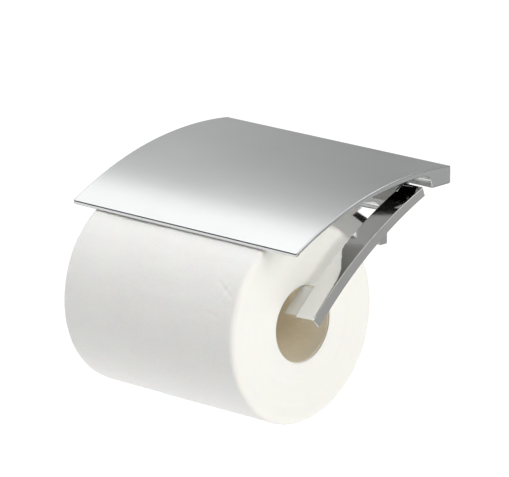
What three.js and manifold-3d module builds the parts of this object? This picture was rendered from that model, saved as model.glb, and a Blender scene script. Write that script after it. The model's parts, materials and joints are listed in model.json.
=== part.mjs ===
// Wall-mounted toilet paper holder with an arched lid, two curved arms and spring-loaded roll stubs,
// shown with a paper roll on it. Millimetres, +Z up. The origin is on the wall, at the middle of the
// wall plate's back; +Y points into the wall, so the holder reaches forward along -Y.
import * as THREE from 'three';
import { mergeVertices } from 'three/addons/utils/BufferGeometryUtils.js';
import Module from 'manifold-3d';

const wasm = await Module();
wasm.setup();

// ---------- driving dimensions ----------
const GAP = 0.3; // running clearance between neighbouring pieces
const deg = Math.PI / 180;

// paper roll: a standard 114 mm roll on a 38 mm bore, pushed against the left arm
const ROLL = { y: -86, z: -40, length: 114, offset: -3.7, radius: 50, bore: 19, coreWall: 1 };

// lid: an arched plate with a hinge rail under its rear edge
const LID = {
  width: 148, archRadius: 188, undersideRadius: 188,
  front: [-114, 3.9], rear: [-2.8, 26.3],
  lipHeight: 1.7, rearThickness: 3.3, cornerRadius: 1.3, edgeBevel: 0.35,
};
const RAIL = { bottom: 17.5, frontAtBottom: -16.5, frontAtTop: -20, corner: 0.8, coveDrop: 0.5 };
const HINGE = {
  y: -10.3, z: 20.2, pin: 1.25, pinEnd: 42.5, pinChamfer: 0.4, boreEnd: 43.2,
  headRadius: 2.2, headHeight: 1.5, bushWall: 0.55, collarHeight: 1,
};
const NOTCH = { halfWidth: 34.3, plateLeft: 2 }; // middle of the rail, cut away for the housing

// housing on the wall, with the two hinge lugs
const HOUSING = {
  halfWidth: 31, wall: 1.8, bottom: -21.3, shallow: -5.5, deep: -17.7, neck: -4, shoulder: 2.4,
  shoulderRound: 3, edge: 1, shelf: 13, shelfFront: -6.8, top: 18.2,
};
const LUG = { inner: 23.5, radius: 4, collarInset: 0.6 };
const PLATE = {
  halfWidth: 25, thickness: 2, bottom: -17, screwHole: 2.5, screwSpacing: 30,
  topFlangeReach: 6, bottomFlange: 1.6,
};
const SET_SCREW = { x: 14, y: -1.9, radius: 1.35, recess: 0.3, point: 0.5, socket: 0.8, socketDepth: 1.5 };

// cross-bar: a channel, open on top, between the two arms
const BAR = {
  halfLength: 60.7, front: -28, rear: -18, bottom: 9, top: 18.2, wall: 1.7, endWall: 2.2, round: 1.2,
};
const BAR_SCREW = {
  x: 18, z: 13.5, shank: 1.5, head: 2.4, headHeight: 2, end: -24.5, slotHalfWidth: 0.4, slotFloor: 1,
  nutRadius: 2.75, nutHeight: 2.4,
};

// arms: a strip bent to one large radius about (y, z), from the rear end angle to the tip angle
const ARM = {
  y: 59.2, z: -196.3, radius: 230, rearAngle: 20.7 * deg, tipAngle: 44.1 * deg,
  rearThickness: 4.9, tipThickness: 6.4, inner: 61, width: 12, edgeBevel: 0.5, steps: 64,
};
const ARM_SCREW = { angle: 21.3 * deg, depth: 2.45, shank: 1.2, head: 2, headHeight: 1.6, end: 67.5 };
const FACET = { radius: 316, tilt: 6 * deg, steps: 48 }; // the strip's face turns inward towards its tip

// roll stubs: flat tongues that slide along X in a pocket in each arm's tip
const STUB = {
  tip: 50.3, tail: 64.8, travel: 7, front: 1.75, back: 5.45, endMargin: 1.3, span: 7 * deg,
  pocketFloor: 72.1, topRadius: 18.6,
  noseLength: 2.2, noseTop: 2.3, noseFront: 3.9, noseBack: 4.9, slopeLength: 5,
};
const SPRING = {
  angle: 41 * deg, depth: 3.75, coil: 0.75, wire: 0.17, turns: 9, hole: 1.2, start: 57.9, end: 71.9,
};
const STOP_PIN = { x: 62.6, angle: 42.7 * deg, radius: 0.8, depth: 4.2, grooveDepth: 3.9 };
const BEYOND = 9; // depth that is past the back of every arm and stub

// ---------- materials ----------
function finish(color, roughness, metalness) {
  return new THREE.MeshStandardMaterial({ color, roughness, metalness });
}
const satinMetal = finish(0xaeb4b4, 0.38, 1);
const chrome = finish(0xd0d2d0, 0.08, 1);
const steel = finish(0x9a9c9c, 0.35, 1);
const springSteel = finish(0x808284, 0.3, 1);
const nylon = finish(0xe8e6df, 0.5, 0);
const silverPlastic = finish(0xc9c8c2, 0.35, 0);
const paper = finish(0xf4f3ee, 0.95, 0);
const cardboard = finish(0xb8a888, 0.9, 0);

// ---------- solid helpers ----------
function toSolid(geometry) {
  const bare = geometry.clone();
  bare.deleteAttribute('normal');
  bare.deleteAttribute('uv');
  const merged = mergeVertices(bare, 1e-4);
  return new wasm.Manifold(new wasm.Mesh({
    numProp: 3,
    vertProperties: new Float32Array(merged.attributes.position.array),
    triVerts: new Uint32Array(merged.index.array),
  }));
}

function toGeometry(solid) {
  const mesh = solid.getMesh();
  const geometry = new THREE.BufferGeometry();
  geometry.setAttribute('position', new THREE.BufferAttribute(new Float32Array(mesh.vertProperties), 3));
  geometry.setIndex(new THREE.BufferAttribute(new Uint32Array(mesh.triVerts), 1));
  geometry.computeVertexNormals();
  return geometry;
}

// joins the first geometry with `add`, then cuts `remove` out of it
function carve(geometry, { add = [], remove = [], keep = null }) {
  let solid = toSolid(geometry);
  for (const piece of add) solid = solid.add(toSolid(piece));
  for (const piece of remove) solid = solid.subtract(toSolid(piece));
  if (keep) solid = solid.intersect(toSolid(keep));
  return toGeometry(solid);
}

// mirrors a geometry to the other side of the middle plane, with its faces still pointing out
function mirrored(geometry) {
  const copy = (geometry.index ? geometry.toNonIndexed() : geometry.clone());
  copy.scale(-1, 1, 1);
  const position = copy.attributes.position;
  const first = new THREE.Vector3();
  const second = new THREE.Vector3();
  for (let i = 0; i < position.count; i += 3) {
    first.fromBufferAttribute(position, i);
    second.fromBufferAttribute(position, i + 1);
    position.setXYZ(i, second.x, second.y, second.z);
    position.setXYZ(i + 1, first.x, first.y, first.z);
  }
  copy.computeVertexNormals();
  return copy;
}

const sideways = new THREE.Matrix4().set(0, 0, 1, 0, 1, 0, 0, 0, 0, 1, 0, 0, 0, 0, 0, 1);

// extrudes an outline drawn in (y, z) along X
function extrudeX(shape, x0, x1, bevel = 0, curveSegments = 16) {
  const geometry = new THREE.ExtrudeGeometry(shape, {
    depth: x1 - x0 - 2 * bevel, curveSegments, bevelEnabled: bevel > 0,
    bevelThickness: bevel, bevelSize: bevel, bevelOffset: -bevel, bevelSegments: 2,
  });
  return geometry.applyMatrix4(sideways).translate(x0 + bevel, 0, 0);
}

function polygon(points) {
  return new THREE.Shape(points.map(([y, z]) => new THREE.Vector2(y, z)));
}

function box(x0, x1, y0, y1, z0, z1) {
  const geometry = new THREE.BoxGeometry(x1 - x0, y1 - y0, z1 - z0);
  return geometry.translate((x0 + x1) / 2, (y0 + y1) / 2, (z0 + z1) / 2);
}

// solid of revolution about an axis along X at (y, z); the profile is a list of [radius, x]
function turnedX(profile, y, z, segments = 32) {
  const points = profile.map(([radius, x]) => new THREE.Vector2(radius, x));
  const geometry = new THREE.LatheGeometry(points, segments);
  return geometry.rotateZ(-Math.PI / 2).translate(0, y, z);
}

function rodX(radius, x0, x1, y, z, segments = 24) {
  return turnedX([[0, x0], [radius, x0], [radius, x1], [0, x1]], y, z, segments);
}

// the same about an axis along Y, with the profile's second number along Y
function turnedY(profile, x, z, segments = 24) {
  const points = profile.map(([radius, y]) => new THREE.Vector2(radius, y));
  return new THREE.LatheGeometry(points, segments).translate(x, 0, z);
}

function rodY(radius, y0, y1, x, z) {
  return turnedY([[0, y0], [radius, y0], [radius, y1], [0, y1]], x, z);
}

function turnedZ(profile, x, y, segments = 24) {
  const points = profile.map(([radius, z]) => new THREE.Vector2(radius, z));
  return new THREE.LatheGeometry(points, segments).rotateX(Math.PI / 2).translate(x, y, 0);
}

// points along the arc of the given radius from `from` to `to`, bulging to the left of that direction
function arcPoints(from, to, radius, steps) {
  const [y0, z0] = from;
  const [y1, z1] = to;
  const chord = Math.hypot(y1 - y0, z1 - z0);
  const reach = Math.sqrt(radius ** 2 - (chord / 2) ** 2);
  const cy = (y0 + y1) / 2 + ((z1 - z0) / chord) * reach;
  const cz = (z0 + z1) / 2 - ((y1 - y0) / chord) * reach;
  const start = Math.atan2(z0 - cz, y0 - cy);
  const end = Math.atan2(z1 - cz, y1 - cy);
  const points = [];
  for (let i = 0; i <= steps; i += 1) {
    const angle = start + ((end - start) * i) / steps;
    points.push([cy + radius * Math.cos(angle), cz + radius * Math.sin(angle)]);
  }
  return points;
}

// ---------- arms ----------
// a point on the arm's side view: `angle` along the bend, `depth` below its outer face
function armPoint(angle, depth) {
  const reach = ARM.radius - depth;
  return [ARM.y - reach * Math.sin(angle), ARM.z + reach * Math.cos(angle)];
}

function armBand(fromAngle, toAngle, depthAt, backDepthAt, steps) {
  const face = [];
  const back = [];
  for (let i = 0; i <= steps; i += 1) {
    const angle = fromAngle + ((toAngle - fromAngle) * i) / steps;
    face.push(armPoint(angle, depthAt(angle)));
    back.unshift(armPoint(angle, backDepthAt(angle)));
  }
  return polygon([...face, ...back]);
}

function armThickness(angle) {
  const share = (angle - ARM.rearAngle) / (ARM.tipAngle - ARM.rearAngle);
  return ARM.rearThickness + (ARM.tipThickness - ARM.rearThickness) * share;
}

// everything above a slightly flatter arc that meets the arm's face at its tip, tilted about the tip
function facetCutter(x, depth) {
  const [tipY, tipZ] = armPoint(ARM.tipAngle, depth);
  const centre = [
    tipY + FACET.radius * Math.sin(ARM.tipAngle),
    tipZ - FACET.radius * Math.cos(ARM.tipAngle),
  ];
  const thickness = 12;
  const pastTip = 1 * deg;
  const span = 12 * deg;
  const face = [];
  const outside = [];
  for (let i = 0; i <= FACET.steps; i += 1) {
    const angle = ARM.tipAngle + pastTip - (span * i) / FACET.steps;
    const direction = [-Math.sin(angle), Math.cos(angle)];
    face.push([centre[0] + FACET.radius * direction[0], centre[1] + FACET.radius * direction[1]]);
    const far = FACET.radius + thickness;
    outside.unshift([centre[0] + far * direction[0], centre[1] + far * direction[1]]);
  }
  const cutter = extrudeX(polygon([...face, ...outside]), x - 40, x + 10);
  const tangent = new THREE.Vector3(0, -Math.cos(ARM.tipAngle), -Math.sin(ARM.tipAngle));
  cutter.translate(-x, -tipY, -tipZ);
  cutter.applyMatrix4(new THREE.Matrix4().makeRotationAxis(tangent, FACET.tilt));
  return cutter.translate(x, tipY, tipZ);
}

const stubEndAngle = ARM.tipAngle - STUB.endMargin / ARM.radius;

// the stub's side view, grown by `grow` on every side
function stubBand(grow) {
  const growAngle = grow / ARM.radius;
  const start = ARM.tipAngle - STUB.span;
  return armBand(start, stubEndAngle + growAngle, () => STUB.front - grow, () => STUB.back + grow, 20);
}

function stubPrism(x0, x1, grow) {
  return carve(extrudeX(stubBand(grow), x0, x1), {
    keep: rodX(STUB.topRadius + grow, x0 - 1, x1 + 1, ROLL.y, ROLL.z, 96),
  });
}

function armGeometry() {
  const outer = ARM.inner + ARM.width;
  const strip = extrudeX(
    armBand(ARM.rearAngle, ARM.tipAngle, () => 0, armThickness, ARM.steps), ARM.inner, outer, ARM.edgeBevel,
  );
  const [screwY, screwZ] = armPoint(ARM_SCREW.angle, ARM_SCREW.depth);
  const [holeY, holeZ] = armPoint(STOP_PIN.angle, 0);
  const pinHole = stopPinRod(STOP_PIN.radius + GAP, STOP_PIN.depth - GAP, BEYOND);
  pinHole.translate(STOP_PIN.x, holeY, holeZ);
  return carve(strip, {
    remove: [
      facetCutter(outer - ARM.edgeBevel, 0),
      stubPrism(ARM.inner - 1, STUB.pocketFloor, GAP),
      rodX(ARM_SCREW.shank + GAP, ARM.inner - 1, ARM_SCREW.end + GAP, screwY, screwZ),
      pinHole,
    ],
  });
}

// a rod square to the arm's face, between two depths below the face
function stopPinRod(radius, fromDepth, toDepth) {
  const rod = new THREE.CylinderGeometry(radius, radius, toDepth - fromDepth, 16);
  rod.rotateX(Math.PI / 2).translate(0, 0, -(fromDepth + toDepth) / 2);
  return rod.rotateX(STOP_PIN.angle);
}

function stopPinGeometry() {
  const [y, z] = armPoint(STOP_PIN.angle, 0);
  const back = armThickness(STOP_PIN.angle) - 0.1;
  return stopPinRod(STOP_PIN.radius, STOP_PIN.depth, back).translate(STOP_PIN.x, y, z);
}

// an outline in (x, minus depth), extruded along the arm where the stop pin is
function alongArm(points) {
  const [y, z] = armPoint(STOP_PIN.angle, 0);
  const geometry = new THREE.ExtrudeGeometry(polygon(points), { depth: 40, bevelEnabled: false });
  return geometry.translate(0, 0, -20).rotateX(Math.PI / 2 + STOP_PIN.angle).translate(0, y, z);
}

function stubGeometry() {
  const [springY, springZ] = armPoint(SPRING.angle, SPRING.depth);
  const slot = STOP_PIN.radius + GAP;
  const groove = box(
    STOP_PIN.x - STUB.travel - slot, STOP_PIN.x + slot, -slot, slot, -BEYOND, -STOP_PIN.grooveDepth,
  );
  const [pinY, pinZ] = armPoint(STOP_PIN.angle, 0);
  groove.rotateX(STOP_PIN.angle).translate(0, pinY, pinZ);
  const { tip, noseLength, noseTop, noseFront, noseBack, slopeLength, back } = STUB;
  return carve(stubPrism(tip, STUB.tail, 0), {
    remove: [
      facetCutter(ARM.inner, STUB.front),
      rodX(SPRING.hole, SPRING.start - GAP, STUB.tail + 1, springY, springZ, 16),
      groove,
      // the nose: its upper side slopes away, and its back slopes so that a roll pushed up moves it aside
      alongArm([[tip - 1, 1], [tip - 1, -noseFront], [tip, -noseFront], [tip + noseLength, -noseTop],
        [tip + noseLength, 1]]),
      alongArm([[tip - 1, -BEYOND], [tip - 1, -noseBack], [tip, -noseBack], [tip + slopeLength, -back],
        [tip + slopeLength, -BEYOND]]),
    ],
  });
}

class Helix extends THREE.Curve {
  constructor(x0, x1, radius, turns) {
    super();
    Object.assign(this, { x0, x1, radius, turns });
  }

  getPoint(t, target = new THREE.Vector3()) {
    const angle = 2 * Math.PI * this.turns * t;
    const x = this.x0 + (this.x1 - this.x0) * t;
    return target.set(x, this.radius * Math.cos(angle), this.radius * Math.sin(angle));
  }
}

function springGeometry() {
  const [y, z] = armPoint(SPRING.angle, SPRING.depth);
  const section = new THREE.Shape();
  section.absarc(0, 0, SPRING.wire, 0, 2 * Math.PI);
  const path = new Helix(SPRING.start + SPRING.wire, SPRING.end - SPRING.wire, SPRING.coil, SPRING.turns);
  const geometry = new THREE.ExtrudeGeometry(section, {
    extrudePath: path, steps: SPRING.turns * 9, curveSegments: 3, bevelEnabled: false,
  });
  return geometry.translate(0, y, z);
}

function armScrewGeometry() {
  const [y, z] = armPoint(ARM_SCREW.angle, ARM_SCREW.depth);
  const seat = BAR.halfLength - BAR.endWall - GAP;
  return turnedX([
    [0, seat - ARM_SCREW.headHeight], [ARM_SCREW.head, seat - ARM_SCREW.headHeight], [ARM_SCREW.head, seat],
    [ARM_SCREW.shank, seat], [ARM_SCREW.shank, ARM_SCREW.end], [0, ARM_SCREW.end],
  ], y, z);
}

// ---------- lid ----------
function lidProfile() {
  const top = arcPoints(LID.front, [LID.rear[0] - RAIL.corner, LID.rear[1]], LID.archRadius, 28);
  const lipBottom = [LID.front[0], LID.front[1] - LID.lipHeight];
  const rearUnder = [LID.rear[0], LID.rear[1] - LID.rearThickness];
  const underside = arcPoints(lipBottom, rearUnder, LID.undersideRadius, 28);
  const under = underside.filter(([y]) => y < RAIL.frontAtTop);
  const [lastY, lastZ] = under[under.length - 1];
  const shape = polygon(top);
  shape.quadraticCurveTo(LID.rear[0], LID.rear[1], LID.rear[0], LID.rear[1] - RAIL.corner);
  shape.lineTo(LID.rear[0], RAIL.bottom + RAIL.corner);
  shape.quadraticCurveTo(LID.rear[0], RAIL.bottom, LID.rear[0] - RAIL.corner, RAIL.bottom);
  shape.lineTo(RAIL.frontAtBottom, RAIL.bottom);
  shape.quadraticCurveTo(RAIL.frontAtBottom, lastZ - RAIL.coveDrop, lastY, lastZ);
  for (const [y, z] of under.reverse().slice(1)) shape.lineTo(y, z);
  return shape;
}

// the lid seen from above: wider than the lid all round, except at its two rounded front corners
function lidPlan() {
  const half = LID.width / 2;
  const spare = 1;
  const [front] = LID.front;
  const r = LID.cornerRadius;
  const plan = new THREE.Shape();
  plan.moveTo(-half - spare, spare);
  plan.lineTo(-half - spare, front + r);
  plan.lineTo(-half, front + r);
  plan.absarc(-half + r, front + r, r, Math.PI, 1.5 * Math.PI);
  plan.lineTo(-half + r, front - spare);
  plan.lineTo(half - r, front - spare);
  plan.lineTo(half - r, front);
  plan.absarc(half - r, front + r, r, 1.5 * Math.PI, 2 * Math.PI);
  plan.lineTo(half + spare, front + r);
  plan.lineTo(half + spare, spare);
  return plan;
}

function lidGeometry() {
  const half = LID.width / 2;
  const plate = extrudeX(lidProfile(), -half, half, LID.edgeBevel, 6);
  const notchTop = LID.rear[1] - NOTCH.plateLeft;
  const outline = new THREE.ExtrudeGeometry(lidPlan(), { depth: 60, curveSegments: 6, bevelEnabled: false });
  outline.translate(0, 0, -30);
  return carve(plate, {
    remove: [
      box(-NOTCH.halfWidth, NOTCH.halfWidth, RAIL.frontAtTop - 1, 1, RAIL.bottom - 1, notchTop),
      rodX(HINGE.pin + GAP, -HINGE.boreEnd, HINGE.boreEnd, HINGE.y, HINGE.z, 24),
    ],
    keep: outline,
  });
}

// ---------- hinge ----------
const bushInner = HINGE.pin + GAP;
const bushOuter = bushInner + HINGE.bushWall;

function hingePinGeometry() {
  const { pin, pinEnd, pinChamfer, headRadius } = HINGE;
  const seat = LUG.inner - GAP;
  return turnedX([
    [0, seat - HINGE.headHeight], [headRadius, seat - HINGE.headHeight], [headRadius, seat],
    [pin, seat], [pin, pinEnd - pinChamfer], [pin - pinChamfer, pinEnd], [0, pinEnd],
  ], HINGE.y, HINGE.z);
}

function hingeBushGeometry() {
  const start = LUG.inner + GAP;
  const collar = HOUSING.halfWidth + GAP;
  const collarEnd = collar + HINGE.collarHeight;
  const collarRadius = LUG.radius - LUG.collarInset;
  return turnedX([
    [bushInner, start], [bushOuter, start], [bushOuter, collar],
    [collarRadius, collar], [collarRadius, collarEnd], [bushInner, collarEnd], [bushInner, start],
  ], HINGE.y, HINGE.z);
}

// ---------- housing ----------
// side view of the housing; `inset` moves every wall inward for the hollow inside
function housingProfile(inset) {
  const back = inset > 0 ? 1 : 0;
  const edge = HOUSING.edge;
  const round = HOUSING.shoulderRound;
  const bottom = HOUSING.bottom + inset;
  const shallow = HOUSING.shallow + inset;
  const deep = HOUSING.deep + inset;
  const shoulder = HOUSING.shoulder + inset;
  const top = HOUSING.top - inset;
  const shelf = HOUSING.shelf - inset;
  const shape = new THREE.Shape();
  shape.moveTo(back, bottom);
  shape.lineTo(shallow + edge, bottom);
  shape.quadraticCurveTo(shallow, bottom, shallow, bottom + edge);
  shape.lineTo(shallow, HOUSING.neck + inset);
  shape.quadraticCurveTo(shallow, shoulder, deep + round, shoulder);
  shape.quadraticCurveTo(deep, shoulder, deep, shoulder + round);
  shape.lineTo(deep, top - edge);
  shape.quadraticCurveTo(deep, top, deep + edge, top);
  shape.lineTo(HINGE.y, top);
  shape.lineTo(HOUSING.shelfFront - inset / 3, shelf);
  shape.lineTo(back, shelf);
  return shape;
}

function lugGeometry(x0, x1) {
  const shape = new THREE.Shape();
  shape.moveTo(HINGE.y + LUG.radius, HOUSING.shelf - 1);
  shape.lineTo(HINGE.y + LUG.radius, HINGE.z);
  shape.absarc(HINGE.y, HINGE.z, LUG.radius, 0, Math.PI);
  shape.lineTo(HINGE.y - LUG.radius, HOUSING.shelf - 1);
  return extrudeX(shape, x0, x1);
}

function housingGeometry() {
  const half = HOUSING.halfWidth;
  const inner = half - HOUSING.wall;
  const holes = [-1, 1].flatMap((side) => [
    rodY(BAR_SCREW.shank + GAP, -30, -5, side * BAR_SCREW.x, BAR_SCREW.z),
    turnedZ([[0, -30], [SET_SCREW.radius + GAP, -30], [SET_SCREW.radius + GAP, -18], [0, -18]],
      side * SET_SCREW.x, SET_SCREW.y),
  ]);
  return carve(extrudeX(housingProfile(0), -half, half, 0, 6), {
    add: [lugGeometry(LUG.inner, half), lugGeometry(-half, -LUG.inner)],
    remove: [
      extrudeX(housingProfile(HOUSING.wall), -inner, inner, 0, 6),
      rodX(bushOuter + GAP, -half - 1, half + 1, HINGE.y, HINGE.z, 24),
      ...holes,
    ],
  });
}

function wallPlateGeometry() {
  const half = PLATE.halfWidth;
  const top = HOUSING.shelf - HOUSING.wall - GAP;
  const hole = [-1, 1].map((side) => rodY(PLATE.screwHole, -9, 1, (side * PLATE.screwSpacing) / 2, 0));
  const front = HOUSING.shallow + HOUSING.wall + GAP;
  return carve(box(-half, half, -PLATE.thickness, 0, PLATE.bottom, top), {
    add: [
      box(-half, half, -PLATE.topFlangeReach, 0, top - PLATE.thickness, top),
      box(-half, half, front, 0, PLATE.bottom, PLATE.bottom + PLATE.bottomFlange),
    ],
    remove: hole,
  });
}

function setScrewGeometry(side) {
  const tip = PLATE.bottom - GAP;
  const end = HOUSING.bottom + SET_SCREW.recess;
  const { radius, point, socket, socketDepth } = SET_SCREW;
  const screw = turnedZ([
    [0, end], [radius, end], [radius, tip - point], [radius - point, tip], [0, tip],
  ], side * SET_SCREW.x, SET_SCREW.y);
  const key = new THREE.CylinderGeometry(socket, socket, 2 * socketDepth, 6).rotateX(Math.PI / 2);
  key.translate(side * SET_SCREW.x, SET_SCREW.y, end);
  return carve(screw, { remove: [key] });
}

// ---------- cross-bar ----------
function barGeometry() {
  const half = BAR.halfLength;
  const hollow = box(
    -half + BAR.endWall, half - BAR.endWall, BAR.front + BAR.wall, BAR.rear - BAR.wall,
    BAR.bottom + BAR.wall, BAR.top + 1,
  );
  const [screwY, screwZ] = armPoint(ARM_SCREW.angle, ARM_SCREW.depth);
  const holes = [-1, 1].map((side) => rodY(BAR_SCREW.shank + GAP, -22, 0, side * BAR_SCREW.x, BAR_SCREW.z));
  const outline = new THREE.Shape();
  const { round } = BAR;
  outline.moveTo(BAR.rear, BAR.top);
  outline.lineTo(BAR.front, BAR.top);
  outline.lineTo(BAR.front, BAR.bottom + round);
  outline.quadraticCurveTo(BAR.front, BAR.bottom, BAR.front + round, BAR.bottom);
  outline.lineTo(BAR.rear - round, BAR.bottom);
  outline.quadraticCurveTo(BAR.rear, BAR.bottom, BAR.rear, BAR.bottom + round);
  return carve(extrudeX(outline, -half, half, 0, 5), {
    remove: [
      hollow,
      rodX(ARM_SCREW.shank + GAP, -half - 1, half + 1, screwY, screwZ),
      ...holes,
    ],
  });
}

function barScrewGeometry(side) {
  const seat = HOUSING.deep + HOUSING.wall + GAP;
  const screw = turnedY([
    [0, BAR_SCREW.end], [BAR_SCREW.shank, BAR_SCREW.end], [BAR_SCREW.shank, seat], [BAR_SCREW.head, seat],
    [BAR_SCREW.head, seat + BAR_SCREW.headHeight], [0, seat + BAR_SCREW.headHeight],
  ], side * BAR_SCREW.x, BAR_SCREW.z);
  const { slotHalfWidth, slotFloor, head } = BAR_SCREW;
  const slot = box(-slotHalfWidth, slotHalfWidth, seat + slotFloor, seat + 5, -head - 1, head + 1);
  slot.translate(side * BAR_SCREW.x, 0, BAR_SCREW.z);
  return carve(screw, { remove: [slot] });
}

function barNutGeometry(side) {
  const start = BAR.rear - BAR.wall - GAP;
  const { nutRadius, nutHeight } = BAR_SCREW;
  const nut = new THREE.CylinderGeometry(nutRadius, nutRadius, nutHeight, 6).rotateY(Math.PI / 6);
  nut.translate(side * BAR_SCREW.x, start - nutHeight / 2, BAR_SCREW.z);
  return carve(nut, { remove: [rodY(BAR_SCREW.shank + GAP, -30, 0, side * BAR_SCREW.x, BAR_SCREW.z)] });
}

// ---------- paper roll ----------
function ringX(innerRadius, outerRadius, edge, segments) {
  const half = ROLL.length / 2;
  return turnedX([
    [innerRadius, -half], [outerRadius - edge, -half], [outerRadius, -half + edge],
    [outerRadius, half - edge], [outerRadius - edge, half], [innerRadius, half], [innerRadius, -half],
  ], 0, 0, segments);
}

// ---------- assembly ----------
const holder = new THREE.Group();

function place(parent, name, geometry, material) {
  const mesh = new THREE.Mesh(geometry, material);
  mesh.name = name;
  parent.add(mesh);
  return mesh;
}

place(holder, 'wall_plate', wallPlateGeometry(), steel);
place(holder, 'base_housing', housingGeometry(), chrome);
place(holder, 'bridge_bar', barGeometry(), chrome);
place(holder, 'lid', lidGeometry(), satinMetal);

const sidePieces = [
  ['arm', armGeometry(), chrome],
  ['arm_screw', armScrewGeometry(), steel],
  ['roll_stub', stubGeometry(), silverPlastic],
  ['stub_spring', springGeometry(), springSteel],
  ['stub_stop_pin', stopPinGeometry(), steel],
  ['hinge_pin', hingePinGeometry(), steel],
  ['hinge_bush', hingeBushGeometry(), nylon],
  ['set_screw', setScrewGeometry(1), steel],
  ['bar_screw', barScrewGeometry(1), steel],
  ['bar_nut', barNutGeometry(1), steel],
];
for (const [name, geometry, material] of sidePieces) {
  place(holder, `${name}_right`, geometry, material);
  place(holder, `${name}_left`, mirrored(geometry), material);
}

const roll = new THREE.Group();
roll.position.set(ROLL.offset, ROLL.y, ROLL.z);
const coreOuter = ROLL.bore + ROLL.coreWall;
place(roll, 'paper_roll', ringX(coreOuter + GAP, ROLL.radius, 1.2, 72), paper);
place(roll, 'cardboard_core', ringX(ROLL.bore, coreOuter, 0.2, 48), cardboard);
holder.add(roll);

export default holder;
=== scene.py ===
"""Looks of the wall-mounted toilet paper holder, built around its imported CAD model.

Metres, +Z up, the wall at y = 0 and the room on the -Y side. The metal pieces are the CAD nodes
with smooth curves, and with edges that are rounded as far as `refined` says; the paper roll and its
core are built here in full.
"""
import json
import math

import bmesh
import bpy
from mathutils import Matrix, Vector, noise

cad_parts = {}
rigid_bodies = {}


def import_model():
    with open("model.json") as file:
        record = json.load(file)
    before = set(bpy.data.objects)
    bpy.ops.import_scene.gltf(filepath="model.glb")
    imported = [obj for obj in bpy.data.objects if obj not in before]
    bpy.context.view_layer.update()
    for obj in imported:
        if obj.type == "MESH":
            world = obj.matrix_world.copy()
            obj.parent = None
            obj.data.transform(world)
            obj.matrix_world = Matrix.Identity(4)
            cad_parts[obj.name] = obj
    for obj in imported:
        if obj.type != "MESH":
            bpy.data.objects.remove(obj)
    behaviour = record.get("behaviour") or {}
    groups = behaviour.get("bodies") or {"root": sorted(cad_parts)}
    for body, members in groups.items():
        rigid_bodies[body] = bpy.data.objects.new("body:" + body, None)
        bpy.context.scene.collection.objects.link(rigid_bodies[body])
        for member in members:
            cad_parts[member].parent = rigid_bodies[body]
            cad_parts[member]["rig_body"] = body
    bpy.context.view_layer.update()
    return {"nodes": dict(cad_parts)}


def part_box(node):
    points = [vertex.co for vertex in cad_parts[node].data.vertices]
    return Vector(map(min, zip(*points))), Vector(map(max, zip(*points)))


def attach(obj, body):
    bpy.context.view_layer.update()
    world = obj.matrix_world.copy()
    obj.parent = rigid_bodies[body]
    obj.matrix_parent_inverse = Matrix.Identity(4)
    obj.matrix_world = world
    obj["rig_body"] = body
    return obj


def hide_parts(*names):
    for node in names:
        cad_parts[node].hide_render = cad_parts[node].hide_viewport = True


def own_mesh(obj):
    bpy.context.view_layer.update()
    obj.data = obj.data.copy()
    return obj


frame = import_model()
MM = 0.001


# ---------- camera ----------
def make_camera(azimuth, elevation, place, lens):
    """A long lens that looks at the holder from its front right, a little from above."""
    data = bpy.data.cameras.new("camera")
    data.lens = lens
    data.sensor_width = 36
    data.clip_start, data.clip_end = 0.1, 40
    camera = bpy.data.objects.new("camera", data)
    camera.location = place
    camera.rotation_euler = (math.radians(90 - elevation), 0, math.radians(azimuth))
    bpy.context.scene.collection.objects.link(camera)
    bpy.context.scene.camera = camera


make_camera(azimuth=42.7694, elevation=15.1878, place=(1.43721, -1.61660, 0.56253), lens=317.67)


# ---------- material helpers ----------
class Nodes:
    """Short calls for building one node material around a Principled shader."""

    def __init__(self, name):
        self.material = bpy.data.materials.new(name)
        self.material.use_nodes = True
        self.tree = self.material.node_tree
        self.shader = self.tree.nodes["Principled BSDF"]

    def add(self, kind, inputs=(), **settings):
        node = self.tree.nodes.new("ShaderNode" + kind)
        for key, value in settings.items():
            setattr(node, key, value)
        for key, value in dict(inputs).items():
            self.put(value, node.inputs[key])
        return node

    def put(self, value, socket):
        if isinstance(value, bpy.types.NodeSocket):
            self.tree.links.new(value, socket)
        else:
            socket.default_value = value

    def position(self, scale=(1, 1, 1), turn=(0, 0, 0)):
        """The point in the piece's own frame, in metres, stretched and turned."""
        coordinates = self.add("TexCoord").outputs["Object"]
        mapping = self.add("Mapping", {"Vector": coordinates, "Scale": scale, "Rotation": turn})
        return mapping.outputs["Vector"]

    def noise(self, where, scale, detail=4, roughness=0.5, distortion=0):
        inputs = {"Vector": where, "Scale": scale, "Detail": detail, "Roughness": roughness,
                  "Distortion": distortion}
        return self.add("TexNoise", inputs).outputs["Fac"]

    def ramp(self, value, low, high, from_low=0.3, from_high=0.7):
        """Maps from_low to from_high onto low to high, and holds the end values beyond them."""
        inputs = {"Value": value, "From Min": from_low, "From Max": from_high,
                  "To Min": low, "To Max": high}
        return self.add("MapRange", inputs).outputs["Result"]

    def mix(self, share, first, second):
        """A mix of two colours. Sockets 6, 7 and 2 are the Mix node's colour ones."""
        node = self.add("Mix", data_type="RGBA")
        self.put(share, node.inputs["Factor"])
        self.put(first, node.inputs[6])
        self.put(second, node.inputs[7])
        return node.outputs[2]

    def bump(self, height, strength, distance, normal=None):
        inputs = {"Height": height, "Strength": strength, "Distance": distance}
        if normal is not None:
            inputs["Normal"] = normal
        return self.add("Bump", inputs).outputs["Normal"]

    def finish(self, **inputs):
        for key, value in inputs.items():
            self.put(value, self.shader.inputs[key.replace("_", " ")])
        return self.material


def grey(value, tint=(1, 1, 1)):
    return (value * tint[0], value * tint[1], value * tint[2], 1)


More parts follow.
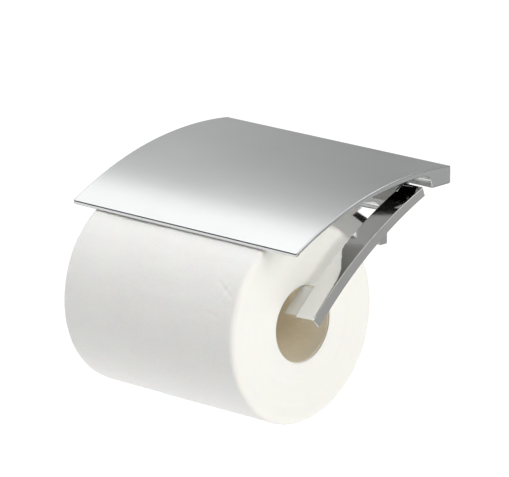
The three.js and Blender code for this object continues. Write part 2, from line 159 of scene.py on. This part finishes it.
def satin_metal():
    """Fine satin steel: hairlines along the lid's width, with a little variation in gloss."""
    n = Nodes("satin_metal")
    hairline = n.noise(n.position((40, 2600, 2600)), 1, 3, 0.6)
    cloud = n.noise(n.position(), 28, 3)
    gloss = n.ramp(hairline, 0.245, 0.27)
    colour = n.mix(cloud, grey(0.66, (0.98, 1, 1)), grey(0.72, (0.985, 1, 1)))
    normal = n.bump(hairline, 0.02, 0.00002)
    return n.finish(Base_Color=colour, Metallic=1.0, Roughness=gloss, Normal=normal)


def chrome():
    """Polished plating with the faint waviness and fine wiping marks of a real one."""
    n = Nodes("chrome")
    wave = n.noise(n.position(), 90, 2)
    marks = n.noise(n.position((300, 900, 1600), (0.4, 0.2, 0.1)), 1, 4, 0.7)
    gloss = n.ramp(marks, 0.03, 0.08)
    colour = n.mix(wave, grey(0.78, (1, 1, 0.985)), grey(0.83, (1, 1, 0.99)))
    normal = n.bump(wave, 0.05, 0.0004)
    return n.finish(Base_Color=colour, Metallic=1.0, Roughness=gloss, Normal=normal)


def plain_steel():
    n = Nodes("steel")
    grain = n.noise(n.position((900, 900, 900)), 1, 4, 0.65)
    colour = n.mix(grain, grey(0.42), grey(0.6))
    normal = n.bump(grain, 0.2, 0.00005)
    return n.finish(Base_Color=colour, Metallic=1.0, Roughness=n.ramp(grain, 0.28, 0.42), Normal=normal)


def spring_steel():
    n = Nodes("spring_steel")
    grain = n.noise(n.position((1500, 1500, 1500)), 1, 3)
    colour = n.mix(grain, grey(0.3), grey(0.45))
    return n.finish(Base_Color=colour, Metallic=1.0, Roughness=n.ramp(grain, 0.25, 0.4))


def nylon():
    n = Nodes("nylon")
    grain = n.noise(n.position(), 700, 4)
    colour = n.mix(grain, (0.74, 0.73, 0.68, 1), (0.82, 0.81, 0.77, 1))
    normal = n.bump(grain, 0.1, 0.0001)
    return n.finish(Base_Color=colour, Roughness=n.ramp(grain, 0.4, 0.55), Normal=normal,
                    Subsurface_Weight=0.1)


def silver_plastic():
    """Satin silver-grey moulding with a very fine spark-eroded grain."""
    n = Nodes("silver_plastic")
    grain = n.noise(n.position(), 1400, 4, 0.6)
    cloud = n.noise(n.position(), 60, 2)
    colour = n.mix(cloud, (0.86, 0.85, 0.81, 1), (0.90, 0.89, 0.855, 1))
    normal = n.bump(grain, 0.12, 0.00005)
    return n.finish(Base_Color=colour, Metallic=0.1, Roughness=n.ramp(grain, 0.3, 0.42), Normal=normal)


def toilet_paper():
    """Soft creped tissue: wrinkles along the axis on the outside, fine wound layers on the ends."""
    n = Nodes("toilet_paper")
    where = n.position()
    apart = n.add("SeparateXYZ", {"Vector": where}).outputs
    square_y = n.add("Math", {0: apart["Y"], 1: apart["Y"]}, operation="MULTIPLY").outputs[0]
    square = n.add("Math", {0: apart["Z"], 1: apart["Z"], 2: square_y}, operation="MULTIPLY_ADD").outputs[0]
    radius = n.add("Math", {0: square}, operation="SQRT").outputs[0]
    along_radius = n.add("CombineXYZ", {"X": radius}).outputs[0]
    layers = n.noise(along_radius, 2600, 3, 0.7)
    bands = n.noise(along_radius, 420, 2)
    crepe = n.noise(n.position((250, 2200, 2200)), 1, 4, 0.62)
    fibre = n.noise(where, 900, 5, 0.7)
    cloud = n.noise(where, 40, 3)
    shade = n.mix(n.ramp(fibre, 0, 1), (0.86, 0.855, 0.83, 1), (0.93, 0.925, 0.905, 1))
    shade = n.mix(n.ramp(bands, 0, 0.5), shade, (0.88, 0.872, 0.838, 1))
    shade = n.mix(n.ramp(cloud, 0, 0.35), shade, (0.94, 0.94, 0.925, 1))
    # `end` goes from 0 on the round outside to 1 on the flat ends.
    end = n.ramp(n.add("Math", {0: apart["X"]}, operation="ABSOLUTE").outputs[0], 0, 1, 0.0545, 0.0562)
    shade = n.mix(end, shade, n.mix(bands, (0.935, 0.925, 0.87, 1), (0.915, 0.90, 0.84, 1)))
    side = n.add("Math", {0: 1.0, 1: end}, operation="SUBTRACT").outputs[0]
    on_end = n.add("Math", {0: end, 1: 0.3}, operation="MULTIPLY").outputs[0]
    normal = n.bump(layers, on_end, 0.00012)
    on_side = n.add("Math", {0: side, 1: 0.5}, operation="MULTIPLY").outputs[0]
    normal = n.bump(crepe, on_side, 0.00018, normal)
    normal = n.bump(fibre, 0.25, 0.0001, normal)
    return n.finish(Base_Color=shade, Roughness=0.95, Normal=normal, Subsurface_Weight=0.15,
                    Subsurface_Scale=0.002, Sheen_Weight=0.12, Specular_IOR_Level=0.2)


def cardboard():
    """Grey-brown recycled board with short fibres and faint flecks."""
    n = Nodes("cardboard")
    where = n.position()
    fibre = n.noise(n.position((260, 900, 900), (0, 0.3, 0)), 1, 5, 0.7)
    fleck = n.noise(where, 1500, 2)
    colour = n.mix(n.ramp(fibre, 0, 1), (0.90, 0.82, 0.66, 1), (0.95, 0.885, 0.74, 1))
    colour = n.mix(n.ramp(fleck, 0, 0.6, 0.62, 0.75), colour, (0.80, 0.71, 0.56, 1))
    normal = n.bump(fibre, 0.4, 0.0002)
    return n.finish(Base_Color=colour, Roughness=0.88, Normal=normal, Specular_IOR_Level=0.25)


# ---------- mesh helpers ----------
def add_piece(name, verts, faces, material, place=(0, 0, 0)):
    mesh = bpy.data.meshes.new(name)
    mesh.from_pydata(verts, [], faces)
    for face in mesh.polygons:
        face.use_smooth = True
    mesh.materials.append(material)
    piece = bpy.data.objects.new(name, mesh)
    piece.location = place
    bpy.context.scene.collection.objects.link(piece)
    return piece


def turned_ring(profile, steps, shift):
    """Verts and faces of a closed outline turned about the X axis. `profile` holds (x, radius, part) and
    shift(x, radius, angle, part) gives the small move (dx, dr) of each point. A known fault: the order of
    each face's corners makes it look inwards."""
    verts, faces = [], []
    count = len(profile)
    for i in range(steps):
        angle = 2 * math.pi * i / steps
        for x, radius, part in profile:
            dx, dr = shift(x, radius, angle, part)
            r = radius + dr
            verts.append((x + dx, r * math.cos(angle), r * math.sin(angle)))
    for i in range(steps):
        j = (i + 1) % steps
        for k in range(count):
            m = (k + 1) % count
            faces.append((i * count + k, i * count + m, j * count + m, j * count + k))
    return verts, faces


def spread(start, end, count):
    """`count` steps from start towards end, without the end itself."""
    return [start + (end - start) * i / count for i in range(count)]


# ---------- paper roll ----------
LIP_STEP = 0.15 * MM              # width of the slope from the roll's flat end to the edge over the core


def roll_profile(half, outer, inner, edge, lip):
    """The roll's outline: outside, soft outer edges, and flat ends whose inner edge covers the core's rim.
    `lip` is (radius, thickness) of that edge."""
    right = [(x, outer, "side") for x in spread(0, half - edge, 62)]
    for i in range(9):
        turn = math.pi / 2 * i / 9
        right.append((half - edge + edge * math.sin(turn), outer - edge + edge * math.cos(turn), "edge"))
    lip_radius, lip_depth = lip
    right += [(half, r, "end") for r in spread(outer - edge, lip_radius + LIP_STEP, 28)]
    right += [(half, lip_radius + LIP_STEP, "end"), (half - 0.1 * MM, lip_radius, "lip")]
    right += [(half - lip_depth, lip_radius, "lip"), (half - lip_depth, inner, "lip")]
    right += [(x, inner, "bore") for x in spread(half - 5 * lip_depth, 0, 5)]
    left = [(-x, r, part) for x, r, part in reversed(right[1:])]
    return right + [(0, inner, "bore")] + left


TAIL_ANGLE = math.radians(328)    # where the last sheet ends: low on the side that faces the wall
SHEET = 114 * MM                  # from one perforation to the next
CREASES = [                       # (mm along the axis, degrees round the roll) at both ends of each
    ((41.5, 147.5), (46.8, 151.4)), ((48.5, 148.0), (46.8, 151.4)), ((46.8, 151.4), (51.7, 154.5)),
    ((46.0, 153.0), (44.5, 157.5)), ((39.0, 165.5), (45.0, 166.5)), ((-30.0, 296.0), (-21.0, 291.0)),
    ((12.0, 40.0), (20.0, 34.0)),
]


def crease_depth(x, angle, outer):
    """Shallow folds pressed into the outermost sheet."""
    here = Vector((x, angle * outer))
    depth = 0
    for first, last in CREASES:
        start, end = (Vector((along * MM, math.radians(turn) * outer)) for along, turn in (first, last))
        share = min(max((here - start).dot(end - start) / (end - start).length_squared, 0), 1)
        distance = (here - start.lerp(end, share)).length
        if distance < 4 * MM:
            depth += 0.26 * MM * math.exp(-(distance / (0.8 * MM)) ** 2)
    return depth


def make_roll():
    low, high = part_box("paper_roll")
    centre = (low + high) / 2
    half, outer = (high.x - low.x) / 2, (high.z - low.z) / 2
    core_low, core_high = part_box("cardboard_core")
    inner = (core_high.z - core_low.z) / 2 + 0.1 * MM
    ply = 0.28 * MM               # two plies, loosely wound
    slack_room = 0.3 * MM         # for the uneven outside, which still passes the CAD cylinder: by up to
                                  # 0.09 mm, and by 0.26 mm at the curled tail
    soft_edge = 2.8 * MM
    lip = (inner - 1.0 * MM, 0.4 * MM)

    def shift(x, radius, angle, part):
        where = Vector((x / MM, radius * math.cos(angle) / MM, radius * math.sin(angle) / MM))
        slack = noise.noise(where * 0.035) * 0.2 + noise.noise(where * 0.11) * 0.09
        loose = slack * MM - slack_room
        past_tail = ((angle - TAIL_ANGLE) / (2 * math.pi)) % 1.0
        if part == "side":
            ripple = noise.noise(Vector((x / MM * 0.05, angle * 9, 3))) * 0.12 * MM
            lift = ply * (1 - past_tail) * 0.6
            curl = 0.3 * MM * math.exp(-past_tail * 90) * (1 + noise.noise(Vector((x / MM * 0.08, 0, 7))))
            to_hole = (past_tail * 2 * math.pi * outer) % SHEET
            holes = 0.12 * MM * math.exp(-((to_hole - 2 * MM) / (0.7 * MM)) ** 2)
            holes *= 1 + math.sin(2 * math.pi * x / (3.2 * MM))
            return 0, loose + ripple + lift + min(curl, 0.3 * MM) - holes - crease_depth(x, angle, outer)
        if part in ("edge", "end", "lip"):
            winding = noise.noise(Vector((radius / MM * 1.3, math.copysign(5, x), 0))) * 0.07
            winding += noise.noise(Vector((radius / MM * 0.35, math.copysign(9, x), 1))) * 0.14
            sag = noise.noise(where * 0.05) * 0.15
            inward = -math.copysign(1, x) * (0.22 + winding + sag) * MM
            share = 1 if part == "edge" else max(0, (radius - lip[0]) / (outer - soft_edge - lip[0]))
            return inward, (loose + ply * (1 - past_tail) * 0.6) * share if part != "lip" else 0
        return 0, 0

    profile = roll_profile(half, outer, inner, soft_edge, lip)
    verts, faces = turned_ring(profile, steps=360, shift=shift)
    roll = add_piece("tissue_roll", verts, faces, toilet_paper(), centre)
    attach(roll, "roll")
    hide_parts("paper_roll")


def make_core():
    low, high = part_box("cardboard_core")
    centre = (low + high) / 2
    half, outer = (high.x - low.x) / 2 - 1.2 * MM, (high.z - low.z) / 2
    wall = 1.0 * MM
    inner = outer - wall
    pitch = 62 * MM                    # of the board's spiral seam

    def shift(x, radius, angle, part):
        if part != "bore":
            return 0, 0
        turn = (x / pitch - angle / (2 * math.pi)) % 1.0
        seam = math.exp(-((turn - 0.5) * pitch / (0.7 * MM)) ** 2)
        step = 0.12 * MM * (1 if turn > 0.5 else 0)
        uneven = noise.noise(Vector((x / MM * 0.06, math.cos(angle) * 2, math.sin(angle) * 2))) * 0.1 * MM
        return 0, seam * 0.22 * MM + step + uneven

    right = [(x, outer, "back") for x in spread(0, half - 0.2 * MM, 6)]
    right += [(half - 0.2 * MM, outer, "rim"), (half, outer - 0.2 * MM, "rim")]
    right += [(half, inner + 0.2 * MM, "rim"), (half - 0.2 * MM, inner, "rim")]
    right += [(x, inner, "bore") for x in spread(half - 0.8 * MM, 0, 70)]
    profile = right + [(0, inner, "bore")] + [(-x, r, part) for x, r, part in reversed(right[1:])]
    verts, faces = turned_ring(profile, steps=160, shift=shift)
    core = add_piece("core_tube", verts, faces, cardboard(), centre)
    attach(core, "roll")
    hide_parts("cardboard_core")


make_roll()
make_core()


# ---------- metal pieces ----------
WELD = 1e-6                       # metres: points nearer than this become one
FLAT = math.radians(0.06)         # faces that meet at less than this become one
FACES_DOWN = -0.5                 # a face whose normal's z is below this takes the polish


def refined(node, edge, material, sharp=math.radians(24), crease=None, polish=None):
    """The CAD node's own shape with its sharp edges rounded by up to `edge` metres and its curves smooth.
    Edges between the angles crease and sharp stay crisp. Faces that look down take `polish`.

    Known faults: clamp_overlap shrinks a piece's rounding until none of it overlaps,
    so the arms and stubs get almost none, and the housing and bar about a tenth of it. The lid has no
    such limit, so its lip shows well, but its rounding crosses itself."""
    source = frame["nodes"][node]
    bm = bmesh.new()
    bm.from_mesh(source.data)
    bmesh.ops.remove_doubles(bm, verts=bm.verts, dist=WELD)
    bmesh.ops.dissolve_limit(bm, angle_limit=FLAT, verts=bm.verts, edges=bm.edges)
    angles = {e: e.calc_face_angle() for e in bm.edges if len(e.link_faces) == 2}
    for e, angle in angles.items():
        e.smooth = crease is None or not crease < angle <= sharp
    corners = [e for e, angle in angles.items() if angle > sharp]
    bmesh.ops.bevel(bm, geom=corners, offset=edge, segments=3, profile=0.5, affect="EDGES",
                    clamp_overlap=node != "lid")
    mesh = bpy.data.meshes.new(node + "_visual")
    bm.to_mesh(mesh)
    bm.free()
    piece = bpy.data.objects.new(node + "_visual", mesh)
    bpy.context.scene.collection.objects.link(piece)
    for face in mesh.polygons:
        face.use_smooth = True
    mesh.materials.append(material)
    if polish is not None:
        mesh.materials.append(polish)
        for face in mesh.polygons:
            face.material_index = 1 if face.normal.z < FACES_DOWN else 0
    weighted = piece.modifiers.new("weighted", "WEIGHTED_NORMAL")
    weighted.weight = 80
    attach(piece, source["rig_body"])
    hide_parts(node)
    return piece


FINISHES = {
    "satin_metal": satin_metal(), "chrome": chrome(), "steel": plain_steel(),
    "spring_steel": spring_steel(), "nylon": nylon(), "silver_plastic": silver_plastic(),
}
ARM_CREASE = math.radians(3)  # finer than the fold in the arm's face, coarser than the steps of its bend
METAL = {                     # node: (material, rounding asked for in mm, crease)
    "lid": ("satin_metal", 0.4, None),
    "base_housing": ("chrome", 0.3, None),
    "bridge_bar": ("chrome", 0.25, None),
    "arm_right": ("chrome", 0.6, ARM_CREASE),
    "arm_left": ("chrome", 0.6, ARM_CREASE),
    "roll_stub_right": ("silver_plastic", 0.5, ARM_CREASE),
    "roll_stub_left": ("silver_plastic", 0.5, ARM_CREASE),
    "wall_plate": ("steel", 0.15, None),
}
for node, (slot, edge, crease) in METAL.items():
    polish = FINISHES["chrome"] if node == "lid" or "stub" in node else None
    refined(node, edge * MM, FINISHES[slot], crease=crease, polish=polish)


def make_spring(side):
    """The CAD spring's own coil, fixed in the arm."""
    node = "stub_spring_" + side
    spring = bpy.data.objects.new(node + "_visual", frame["nodes"][node].data.copy())
    bpy.context.scene.collection.objects.link(spring)
    spring.data.materials.clear()
    spring.data.materials.append(FINISHES["spring_steel"])
    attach(spring, "base")
    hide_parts(node)
    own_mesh(spring)


make_spring("right")
make_spring("left")
for node, slot in {
    "stub_stop_pin": "steel", "hinge_pin": "steel", "hinge_bush": "nylon",
    "set_screw": "steel", "bar_screw": "steel", "bar_nut": "steel", "arm_screw": "steel",
}.items():
    for side in ("right", "left"):
        piece = frame["nodes"][node + "_" + side]
        piece.data.materials.clear()
        piece.data.materials.append(FINISHES[slot])


# ---------- floor, light ----------
# The cards and flags are white and black panels that only reflections see. Most are placed for the
# main camera: they give the chrome the light and dark shapes it shows from there.
def make_floor(z):
    """A white studio floor that glows evenly, except for a painted shadow right under the holder."""
    bm = bmesh.new()
    bmesh.ops.create_grid(bm, x_segments=4, y_segments=4, size=8)
    mesh = bpy.data.meshes.new("floor")
    bm.to_mesh(mesh)
    bm.free()
    floor = bpy.data.objects.new("floor", mesh)
    floor.location.z = z
    bpy.context.scene.collection.objects.link(floor)
    n = Nodes("floor")
    where = n.position()
    cloud = n.noise(where, 1.5, 2)
    colour = n.mix(cloud, grey(0.19), grey(0.21))
    away = n.add("VectorMath", {0: where}, operation="LENGTH").outputs["Value"]
    # Painted shadow: the floor's glow drops towards the spot right under the holder.
    glow = n.ramp(away, 0.77, 0.97, 0.5, 1.4)
    mesh.materials.append(n.finish(Base_Color=colour, Roughness=0.9, Specular_IOR_Level=0.1,
                                   Emission_Color=grey(1), Emission_Strength=glow))


def area_light(name, place, target, size, power):
    data = bpy.data.lights.new(name, "AREA")
    data.shape = "RECTANGLE"
    data.size, data.size_y = size
    data.energy = power
    light = bpy.data.objects.new(name, data)
    light.location = place
    light.rotation_euler = (Vector(target) - Vector(place)).to_track_quat("-Z", "Y").to_euler()
    bpy.context.scene.collection.objects.link(light)
    return light


def make_world(strength):
    world = bpy.data.worlds.new("studio")
    world.use_nodes = True
    background = world.node_tree.nodes["Background"]
    background.inputs["Color"].default_value = (1, 1, 1, 1)
    background.inputs["Strength"].default_value = strength
    bpy.context.scene.world = world


def seen_by(piece, camera=False, glossy=False):
    """Seen by the camera or in reflections only, and without light or shadow on anything else."""
    piece.visible_camera, piece.visible_glossy = camera, glossy
    piece.visible_diffuse = piece.visible_shadow = piece.visible_transmission = False


def make_backdrop(radius, low, high):
    """A round white wall far behind everything, for the camera only."""
    steps = 48
    verts = [(radius * math.cos(2 * math.pi * i / steps), radius * math.sin(2 * math.pi * i / steps), z)
             for z in (low, high) for i in range(steps)]
    faces = [(i, (i + 1) % steps, steps + (i + 1) % steps, steps + i) for i in range(steps)]
    n = Nodes("backdrop")
    cloud = n.noise(n.position(), 0.8, 2)
    n.finish(Base_Color=grey(0), Roughness=1, Specular_IOR_Level=0,
             Emission_Color=n.mix(cloud, grey(0.99), grey(1.01)), Emission_Strength=1.0)
    backdrop = add_piece("backdrop", verts, faces, n.material)
    seen_by(backdrop, camera=True)


def make_card(name, corners, glow):
    """A flat card, seen in reflections only: studio cards, and near the pieces painted reflections and
    shadow. `glow` gets the node helper and a point on the card.
    """
    n = Nodes(name)
    n.finish(Base_Color=grey(0), Roughness=1, Specular_IOR_Level=0, Emission_Color=grey(1),
             Emission_Strength=glow(n, n.position()))
    card = add_piece(name, corners, [(0, 1, 2, 3)], n.material)
    seen_by(card, glossy=True)


def wall_glow(n, where):
    """The pale wall: brightest at the left, darkest in the middle, and brighter upwards."""
    apart = n.add("SeparateXYZ", {"Vector": where}).outputs
    across = n.ramp(apart["X"], 0.54, 0.33, -0.16, 0.04)
    right = n.ramp(apart["X"], 0, 0.12, 0.0, 0.08)
    across = n.add("Math", {0: across, 1: right}, operation="ADD").outputs[0]
    up = n.ramp(apart["Z"], 0.85, 1.2, -0.05, 0.2)
    return n.add("Math", {0: across, 1: up}, operation="MULTIPLY").outputs[0]


make_floor(z=-0.6)
make_backdrop(radius=7.5, low=-0.7, high=6)
make_world(strength=0.16)


# How strongly a card glows, with a little unevenness.
def black(n, where):
    return n.ramp(n.noise(where, 2), 0, 0.01)


def bright(n, where):
    return n.ramp(n.noise(where, 2), 1.35, 1.45)


def white(n, where):
    return n.ramp(n.noise(where, 2), 1.3, 1.35)


def side_glow(n, where):
    """Brighter upwards, so that the lid shades softly when seen from the left."""
    return n.ramp(n.add("SeparateXYZ", {"Vector": where}).outputs["Z"], 0.55, 0.95, 0.2, 1.6)


WALL_Y, WALL_TOP = 0.03, 0.297
make_card("wall_card", [(-2, WALL_Y, -0.6), (2, WALL_Y, -0.6), (2, WALL_Y, WALL_TOP),
                        (-2, WALL_Y, WALL_TOP)], wall_glow)
make_card("floor_flag", [(-0.85, -0.55, -0.45), (-0.2, -0.55, -0.45), (-0.2, -0.12, -0.45),
                         (-0.85, -0.12, -0.45)], black)
make_card("edge_card_high", [(0.3, -0.6, 1.5), (2.4, -0.6, 1.5), (2.4, 0.9, 1.5), (0.3, 0.9, 1.5)], bright)
make_card("edge_card_low", [(0.12, 0.029, 0.02), (1.5, 0.029, 0.02), (1.5, 0.029, 0.22),
                            (0.12, 0.029, 0.22)], bright)
make_card("side_card", [(2.1, -1.2, 0), (2.1, 1.5, 0), (2.1, 1.5, 2.2), (2.1, -1.2, 2.2)],
          side_glow)
area_light("overhead", place=(-0.8, -0.1, 1.5), target=(-0.8, -0.1, 0), size=(2.6, 2.6), power=30)
side_light = area_light("side", place=(2.1, 0.1, 0.9), target=(0, -0.05, 0), size=(1.6, 1.6), power=28)
side_light.visible_glossy = False
top_light = area_light("top", place=(-0.05, -0.36, 1.0), target=(0, -0.13, 0), size=(0.8, 0.5), power=2.6)
top_light.visible_glossy = False
make_card("front_flag", [(-2.4, -1.5, 1.2), (0, -1.5, 1.2), (0, -0.12, 1.2), (-2.4, -0.12, 1.2)], black)
# A painted shadow of the holder on the wall: a black panel that only reflections see.
make_card("wall_painted_shadow", [(-0.05, 0.001, -0.062), (0.008, 0.001, -0.062), (0.008, 0.001, -0.022),
                        (-0.05, 0.001, -0.022)], black)
make_card("bend_card", [(-0.41, -0.19, -0.44), (-0.33, -0.19, -0.44), (-0.33, -0.15, -0.44),
                        (-0.41, -0.15, -0.44)], bright)
bar_low, bar_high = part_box("bridge_bar")
BEFORE_BAR = bar_low.y - 0.2 * MM
# A painted dark reflection: a black panel just before the bridge bar's front face gives the bar's chrome a
# dark band.
make_card("bar_painted_dark_reflection", [(0.032, BEFORE_BAR, bar_low.z), (0.0445, BEFORE_BAR, bar_low.z),
                       (0.0585, BEFORE_BAR, bar_high.z), (0.032, BEFORE_BAR, bar_high.z)], black)
BEHIND_ROLL = -0.0345             # y of the panels between the roll and the housing
# Painted reflections on the housing's chrome: a white panel and a black one beside it, between the roll and
# the housing, seen only in reflections.
make_card("rear_painted_reflection", [(-0.0096, BEHIND_ROLL, -0.0176), (0.004, BEHIND_ROLL, -0.0222),
                        (0.010, BEHIND_ROLL, -0.0060), (-0.0019, BEHIND_ROLL, -0.0116)],
          white)
make_card("rear_painted_dark_reflection", [(-0.0129, BEHIND_ROLL, -0.0201), (0.0, BEHIND_ROLL, -0.0250),
                        (0.004, BEHIND_ROLL, -0.0222), (-0.0096, BEHIND_ROLL, -0.0176)], black)
bpy.context.scene.view_settings.view_transform = "Standard"
